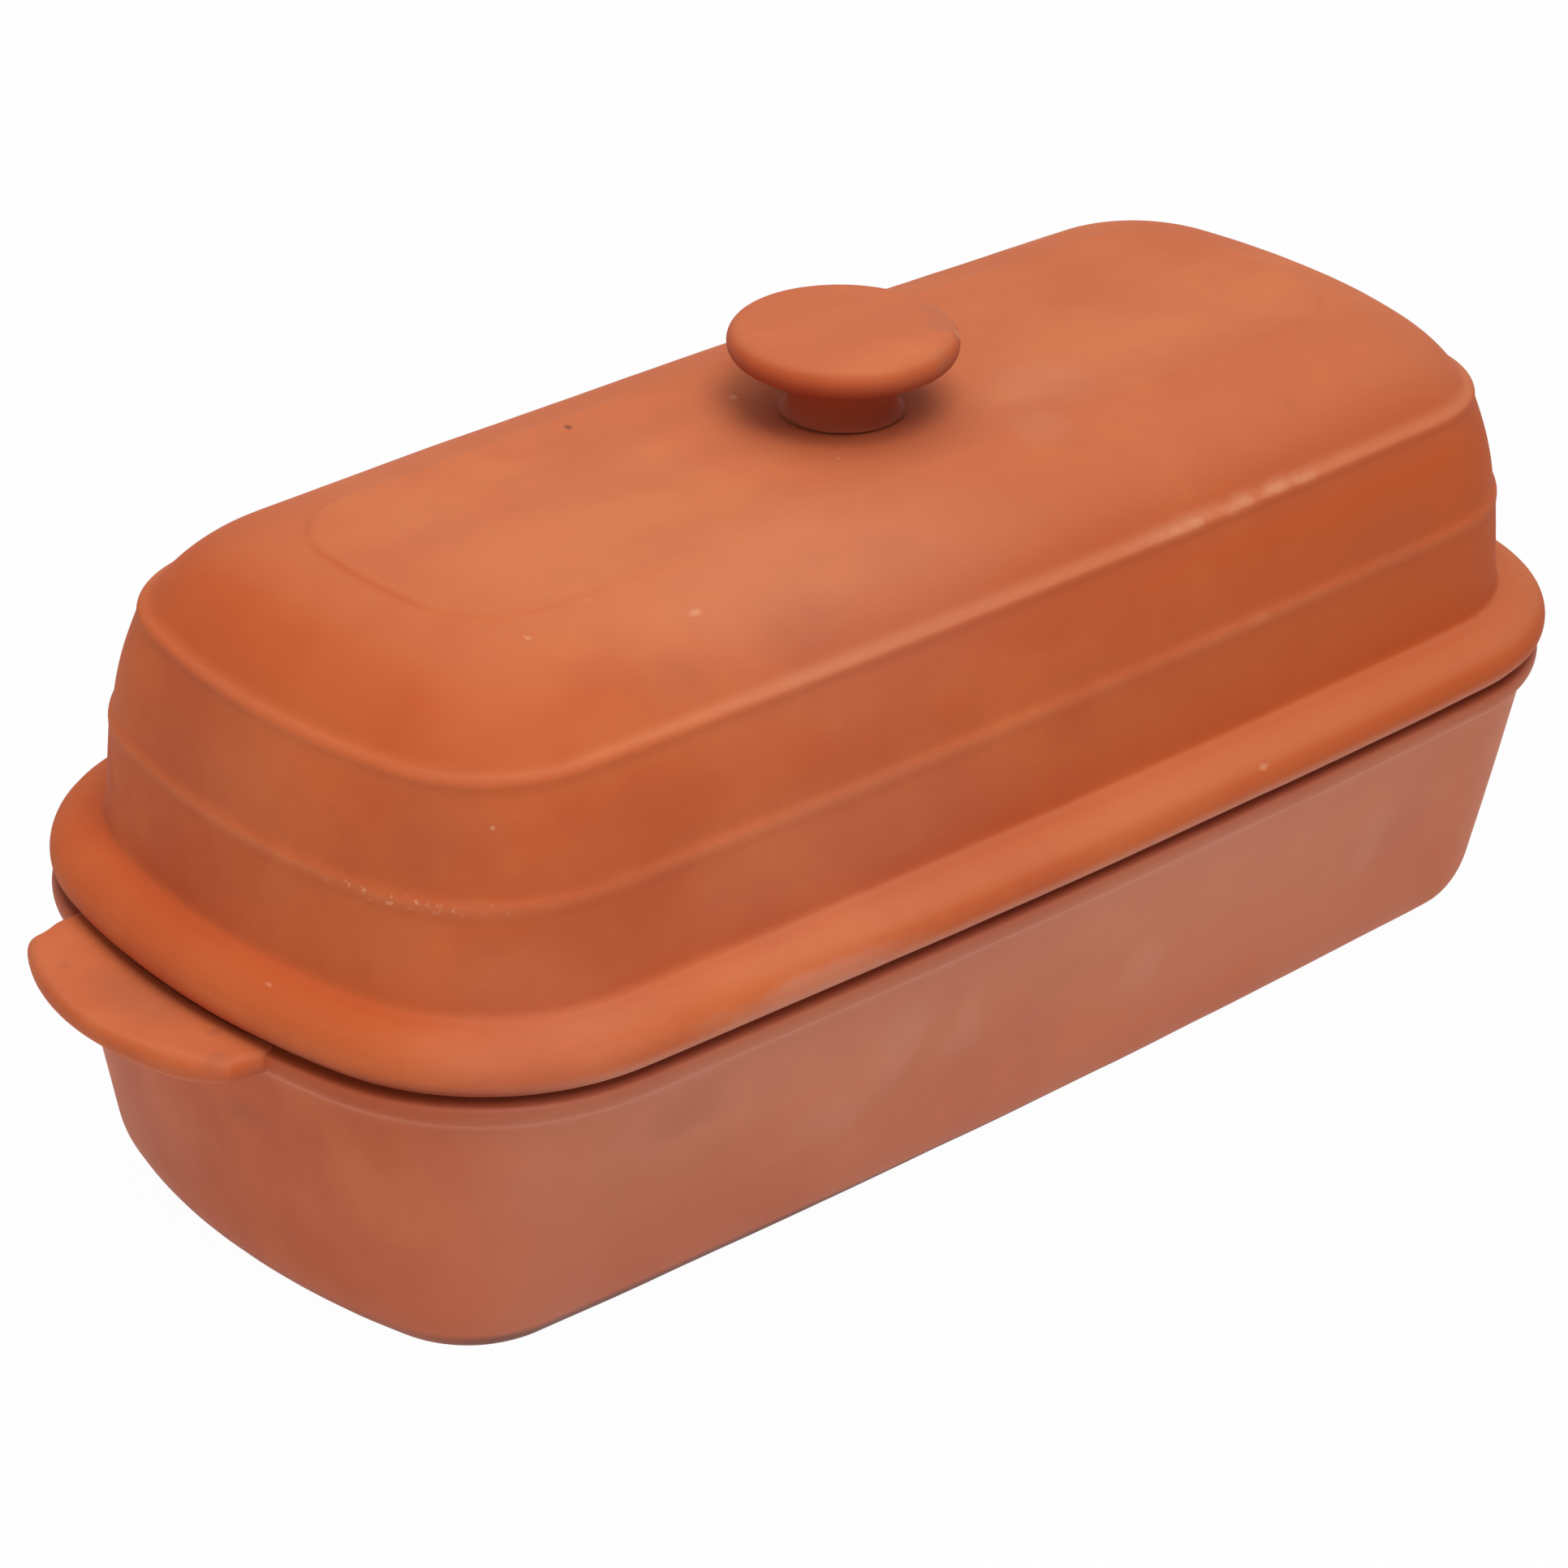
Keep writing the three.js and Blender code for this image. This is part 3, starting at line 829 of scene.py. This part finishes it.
def dust_and_sheen(finish, place, colour, share):
    """Pale dusting and a painted sheen of the light from above on upward faces, and on slopes too away from
    the left end.
    """
    along = finish.axes(place)
    rightward = finish.between(along, *DUST_AND_SHEEN_SLOPES) + finish.between(along, *DUST_AND_SHEEN_END)
    dusted_and_lit = finish.between(finish.attribute("upward") + 0.3 * rightward, *DUST_AND_SHEEN_SLANT)
    patchy = 0.7 + 0.6 * finish.noise(place, DUST_AND_SHEEN_PATCHES, 3)
    return finish.mix(dusted_and_lit * patchy * share, colour, PALE_DUST_AND_SHEEN)


def marked(finish, place, colour, marks, tint, share):
    """A colour with blots of a tint on it, each given by its spot, size and stretch."""
    for spot, size, stretch in marks:
        colour = finish.mix(finish.blot(place, spot, size, stretch) * share, colour, tint)
    return colour


# Marks on the clay: each has its spot and size in millimetres, and its stretch along X, Y and Z
ROUND = (1, 1, 1)
LID_SMUDGES = (
    ((-55, -50, 122), 9, (1.6, 1, 1)),
    ((-86, -51, 121), 8, (1.5, 1, 1)),
    ((92, -62, 97), 9, (1.8, 1, 1)),
    ((-142, 8, 104), 16, (1, 1.8, 1)),
    ((-132, -44, 106), 14, (1.4, 1, 1)),
)
LID_HAZE = (
    ((38, -16, 131), 13, (1.4, 1, 1)),
    ((24, -30, 131), 9, ROUND),
    ((-45, -48, 122), 34, (1.8, 1, 1)),
    ((-60, -65, 82), 20, (3, 1, 1)),
    ((-128, -64, 69), 26, (1.4, 1, 1)),
)
FLANGE_SMEAR = (((-75, -76, 65), 5, (7, 1, 1)),)
LID_NICKS = (
    ((-73, -42, 126.6), 1, (2.6, 1, 1)),
    ((-89, -31, 130), 0.7, ROUND),
    ((-105, -34, 129), 0.8, (1, 1.6, 1)),
    ((-15, -16.5, 130.7), 0.7, ROUND),
    ((-128, -52, 107), 0.8, ROUND),
    ((44, -75, 68.6), 0.9, (1.8, 1, 1)),
    ((-153, -20, 71.3), 0.7, (1, 1.8, 1)),
)
LID_SPOT = (((-45, 26, 131), 1.3, ROUND),)
UPPER_WEAR = (52, -57, 115)
LOWER_WEAR = (-138, -42, 92.5)
# Top of the painted shade on the lid's walls, just under the upper ridge, and how softly it fades
SHADE_TOP = SEAT + UPPER_HOLLOW.y
SHADE_SOFTNESS = 6 * MM
FLANGE_EDGE_RISE = 1 * MM


def ridge_wear(finish, place):
    """Pale, worn crests of the ridges: a little everywhere, with patches and dots in places."""
    dotted = finish.between(finish.noise(place, WEAR_DOTS, 2), 0.6, 0.72)
    patchy = finish.between(finish.noise(place, WEAR_PATCHES, 3), 0.4, 0.65)
    worn = 0.16 * finish.noise(place, WEAR_LENGTHS, 3)
    worn = worn + 0.5 * patchy * finish.blot(place, UPPER_WEAR, 30, (1.2, 1, 1))
    worn = worn + 0.7 * dotted * finish.blot(place, LOWER_WEAR, 24)
    return finish.attribute("rubbed") * worn


def lid_clay():
    """Matte orange, with painted shade as a deeper orange on the right wall and the left end, pale dusting
    and painted sheen on top, smudges, worn ridges and nicks, and painted light and shade on the flange's
    lower edge.
    """
    finish = Finish("lid clay")
    place = finish.place()
    ragged = finish.ragged(place, 8 * MM, 6 * MM)
    axes = finish.axes(place)
    # Painted shade: a deeper orange on the right wall below the upper ridge, and on upward faces at the left
    # end
    under_ridge = 1 - finish.between(axes.other("Z"), SHADE_TOP - SHADE_SOFTNESS, SHADE_TOP)
    right_wall = finish.between(axes, *SHADE_RIGHT) * under_ridge
    left_end = (1 - finish.between(axes, *SHADE_LEFT)) * finish.between(axes.other("Y"), *SHADE_BACK)
    painted_shade = right_wall * 0.8 + left_end * finish.between(finish.attribute("upward"), *SHADE_SLANT) * 0.6
    colour = finish.mix(painted_shade, clay_body(finish, place), SHADE_ORANGE)
    # Pale dusting and painted sheen on upward faces
    colour = dust_and_sheen(finish, place, colour, 0.15)
    colour = marked(finish, ragged, colour, LID_SMUDGES, BROWN_SMUDGE, 0.16)
    colour = marked(finish, ragged, colour, LID_HAZE, PINK_BLOOM_AND_LIGHT, 0.1)
    colour = finish.mix(ridge_wear(finish, place), colour, FRESH_CLAY_AND_LIGHT)
    flange_edge = 1 - finish.between(axes.other("Z"), SEAT + FLANGE_EDGE_RISE, SEAT + FLANGE_WIDEST_RISE)
    front_run = finish.between(axes, *FLANGE_FRONT)
    # Painted light: the flange's downward-facing lower edge made paler and pinker, as if lit from the floor
    # below
    colour = finish.mix(flange_edge * front_run * 0.65, colour, PINK_BLOOM_AND_LIGHT)
    # Painted shade in the seam: the flange's lower edge darkened at the left end
    colour = finish.mix(flange_edge * (1 - front_run) * 0.7, colour, PAINTED_SHADE_BROWN)
    colour = marked(finish, ragged, colour, FLANGE_SMEAR, PINK_BLOOM_AND_LIGHT, 0.3)
    nicked = finish.ragged(place, 2 * MM, 1.2 * MM)
    colour = marked(finish, nicked, colour, LID_NICKS, FRESH_CLAY_AND_LIGHT, 0.4)
    finish.colour(marked(finish, nicked, colour, LID_SPOT, IRON_SPECK, 0.8))
    clay_surface(finish, place, 0.72, 0.2 * MM)
    return finish.material


KNOB_SOOT = (
    ((15.5, -12.5, 148), 5, ROUND),
    ((18.5, -6, 148), 4, ROUND),
    ((7, -20.5, 145), 4, ROUND),
)
KNOB_NICKS = (((16.5, -15, 146), 1.6, ROUND),)
KNOB_SHADE_START = 1 * MM
KNOB_SHADE_RISE = 2.2 * KNOB_CAP_ROUND


def knob_clay():
    """The lid's clay with painted shade on the stem and the cap's underside, a little pale dusting and
    painted sheen on top, and a little soot on the cap's edge.
    """
    finish = Finish("knob clay")
    place = finish.place()
    height = finish.axes(place).other("Z")
    under = knob_low.z + KNOB_NECK_RISE
    # Painted shade: the stem darkened under the cap, most on the cap's lower side, fading up its rim
    stem = 1 - finish.between(height, under + KNOB_SHADE_START, under + KNOB_SHADE_RISE)
    # Pale dusting and painted sheen on the knob's upward faces
    colour = dust_and_sheen(finish, place, clay_body(finish, place), 0.13)
    cap_side = finish.between(height, under, under + KNOB_CAP_ROUND / 2)
    colour = finish.mix(stem * (0.6 + 0.25 * cap_side), colour, PAINTED_SHADE_BROWN)
    colour = marked(finish, finish.ragged(place, 5 * MM, 4 * MM), colour, KNOB_SOOT, GREY_SOOT, 0.2)
    finish.colour(marked(finish, place, colour, KNOB_NICKS, FRESH_CLAY_AND_LIGHT, 0.5))
    clay_surface(finish, place, 0.68, 0.15 * MM)
    return finish.material


TROUGH_SMEARS = (
    ((22, -66, 29), 8, (1, 1, 1.8)),
    ((-45, -68, 38), 9, (1, 1, 1.7)),
    ((-27, -68, 36), 7, (1, 1, 2)),
    ((-60, -66, 26), 8, (1.6, 1, 1.4)),
    ((88, -67, 34), 7, (1, 1, 1.6)),
)
TROUGH_SMUDGES = (
    ((-98, -69, 45), 9, (1.5, 1, 1)),
    ((-154, -13, 41), 4, (1, 2.4, 1)),
)
# Height of the painted contact shadow along the foot
CONTACT_SHADOW_HEIGHT = 5 * MM
CREASE_MIDDLE = WALL_TOP - 0.6 * MM
CREASE_REACH = 1.2 * MM


def trough_clay():
    """Smoother than the lid, with a pale pink bloom on the long sides, painted light on their left part,
    painted shade on the rim under the lid, a painted highlight along the crease and a painted contact shadow
    along the foot.
    """
    finish = Finish("trough clay")
    place = finish.place()
    axes = finish.axes(place)
    ragged = finish.ragged(place, 12 * MM, 9 * MM)
    long_side = finish.between(axes, *BLOOM_START) * (1 - 0.6 * finish.between(axes, *BLOOM_FADE))
    outside = 1 - finish.between(finish.attribute("upward"), *INNER_SLANT)
    high = finish.between(axes.other("Z"), *BLOOM_HEIGHT)
    cloudy = finish.between(finish.noise(place, BLOOM_CLOUDS, 4, 0.6), 0.35, 0.7)
    bloom = long_side * (0.14 + 0.1 * high + 0.08 * cloudy)
    colour = finish.mix(bloom, clay_body(finish, place), PINK_BLOOM_AND_LIGHT)
    # Painted light: the left part of the long sides made paler, where more light falls
    painted_light_left = long_side * (1 - finish.between(axes, *PAINTED_LIGHT_FADE))
    colour = finish.mix(painted_light_left * 0.06, colour, FRESH_CLAY_AND_LIGHT)
    colour = marked(finish, ragged, colour, TROUGH_SMEARS, PINK_BLOOM_AND_LIGHT, 0.14)
    colour = marked(finish, ragged, colour, TROUGH_SMUDGES, BROWN_SMUDGE, 0.25)
    # Painted shade on the rim band under the lid's flange, darkest at the seam
    colour = finish.mix(finish.attribute("rubbed") * 0.6, colour, PAINTED_SHADE_BROWN)
    # Painted highlight: a pale line along the crease at the wall's top, outside only
    crease = 1 - finish.between(abs(axes.other("Z") - CREASE_MIDDLE), 0, CREASE_REACH)
    colour = finish.mix(crease * outside * 0.16, colour, PINK_BLOOM_AND_LIGHT)
    # Painted contact shadow: a dark band along the foot of the long sides, thinning towards the right
    thinning = 1 + 1.2 * finish.between(axes, *CONTACT_SHADOW_FADE)
    painted_contact_shadow = 1 - finish.between(axes.other("Z") * thinning, CONTACT_SHADOW_HEIGHT / 2, CONTACT_SHADOW_HEIGHT)
    finish.colour(finish.mix(painted_contact_shadow * long_side * 0.8, colour, CONTACT_SHADOW_BROWN))
    clay_surface(finish, place, 0.55, 0.12 * MM)
    return finish.material


LUG_SCARS = (
    ((-165, -20, 60), 4, ROUND),
    ((-160, -12, 61), 2, ROUND),
    ((-157, -25, 56), 7, ROUND),
    ((-166, 24, 61), 2, ROUND),
    ((-163, 6, 61), 9, (1, 2, 1)),
)
LUG_NICKS = (
    ((-159, -24.5, 58.5), 1, ROUND),
    ((-156, -27, 59), 1.6, (1, 2, 1)),
)


def lug_clay():
    """The trough's clay without its bloom, paler on top from dusting and painted sheen, scarred where hands
    and shelves have scuffed it.
    """
    finish = Finish("lug clay")
    place = finish.place()
    top = finish.between(finish.attribute("upward"), *LUG_TOP_SLANT)
    # Pale dusting and painted sheen on the lug's top
    colour = finish.mix(top * 0.08, clay_body(finish, place), PALE_DUST_AND_SHEEN)
    colour = marked(finish, finish.ragged(place, 3 * MM, 2 * MM), colour, LUG_SCARS, BROWN_SMUDGE, 0.3)
    finish.colour(marked(finish, place, colour, LUG_NICKS, FRESH_CLAY_AND_LIGHT, 0.5))
    clay_surface(finish, place, 0.64, 0.15 * MM)
    return finish.material


# Camera

CAMERA_AZIMUTH = radians(-42.78)
CAMERA_ELEVATION = radians(28.38)
CAMERA_ROLL = radians(1.11)
CAMERA_DISTANCE = 969.17 * MM
CAMERA_TARGET = Vector((-50.21, -41.32, 83.93)) * MM
CAMERA_LENS = 121.086
SENSOR_WIDTH = 36
FARTHEST_SEEN = 20


def add_camera():
    """The photograph's view: the front side and the left end, from above."""
    back = Vector((
        sin(CAMERA_AZIMUTH) * cos(CAMERA_ELEVATION),
        -cos(CAMERA_AZIMUTH) * cos(CAMERA_ELEVATION),
        sin(CAMERA_ELEVATION)))
    level_right = Vector((cos(CAMERA_AZIMUTH), sin(CAMERA_AZIMUTH), 0))
    level_up = back.cross(level_right)
    right = cos(CAMERA_ROLL) * level_right + sin(CAMERA_ROLL) * level_up
    up = back.cross(right)
    data = bpy.data.cameras.new("camera")
    data.lens = CAMERA_LENS
    data.sensor_width = SENSOR_WIDTH
    data.sensor_fit = "HORIZONTAL"
    data.clip_end = FARTHEST_SEEN
    camera = bpy.data.objects.new("camera", data)
    turn = Matrix((right, up, back)).transposed().to_4x4()
    camera.matrix_world = Matrix.Translation(CAMERA_TARGET + CAMERA_DISTANCE * back) @ turn
    bpy.context.scene.collection.objects.link(camera)
    bpy.context.scene.camera = camera


# Studio

WHITE = (1, 1, 1, 1)
FLOOR_SIZE = 8
FLOOR_DROP = 0.05 * MM
FLOOR_GREY = (0.85, 0.85, 0.85, 1)
FLOOR_GLOW = 0.975
WORLD_LIGHT = 0.24
WARM_WHITE = (1, 0.98, 0.93)

# Softboxes: name, place, size and power
SOFTBOXES = (
    ("overhead softbox", (0, 0.1, 1.6), 1.4, 8),
    ("front softbox", (-0.4, -0.85, 1.75), 1, 17),
    ("left softbox", (-1.8, -0.4, 0.9), 1, 2.5),
)


def add_floor():
    """A wide pale floor that looks white to the camera and still takes the baker's shadow."""
    bpy.ops.object.select_all(action="DESELECT")
    bpy.ops.mesh.primitive_plane_add(size=FLOOR_SIZE, location=(0, 0, -FLOOR_DROP))
    floor = bpy.context.object
    floor.name = "floor"
    finish = Finish("white floor")
    matte = finish.node("ShaderNodeBsdfDiffuse", {}, {"Color": FLOOR_GREY})
    white = finish.node("ShaderNodeEmission", {}, {"Color": WHITE})
    both = finish.node("ShaderNodeMixShader", {}, {
        "Fac": finish.seen() * FLOOR_GLOW, "Shader": matte, "Shader_001": white})
    finish.feed(finish.tree.nodes["Material Output"].inputs["Surface"], both)
    floor.data.materials.append(finish.material)


def add_world():
    """Even pale light from all round, white where the camera looks past the floor."""
    world = bpy.data.worlds.new("studio")
    bpy.context.scene.world = world
    world.use_nodes = True
    sky = Nodes(world.node_tree)
    soft = sky.node("ShaderNodeBackground", {}, {"Color": WHITE, "Strength": WORLD_LIGHT})
    white = sky.node("ShaderNodeBackground", {}, {"Color": WHITE})
    either = sky.node("ShaderNodeMixShader", {}, {"Fac": sky.seen(), "Shader": soft, "Shader_001": white})
    sky.feed(sky.tree.nodes["World Output"].inputs["Surface"], either)


def add_softbox(name, place, size, power):
    """A square softbox aimed at the middle of the baker."""
    data = bpy.data.lights.new(name, "AREA")
    data.shape = "SQUARE"
    data.size = size
    data.energy = power
    data.color = WARM_WHITE
    lamp = bpy.data.objects.new(name, data)
    lamp.location = place
    aim = Vector((0, 0, lid_high.z / 2)) - Vector(place)
    lamp.rotation_euler = aim.to_track_quat("-Z", "Y").to_euler()
    bpy.context.scene.collection.objects.link(lamp)


add_camera()
add_floor()
add_world()
for softbox in SOFTBOXES:
    add_softbox(*softbox)

left_shift = -(left_lug_low.y + left_lug_high.y) / 2
lug_finish = lug_clay()
finish_piece(make_trough(), "base", "base_trough", trough_clay())
finish_piece(make_lug("left_lug_clay", -1, left_shift), "base", "left_lug_handle", lug_finish)
finish_piece(make_lug("right_lug_clay", 1, 0), "base", "right_lug_handle", lug_finish)
finish_piece(make_lid(), "lid", "lid_shell", lid_clay())
finish_piece(make_knob(), "lid", "lid_knob", knob_clay())

bpy.context.scene.view_settings.view_transform = "Standard"
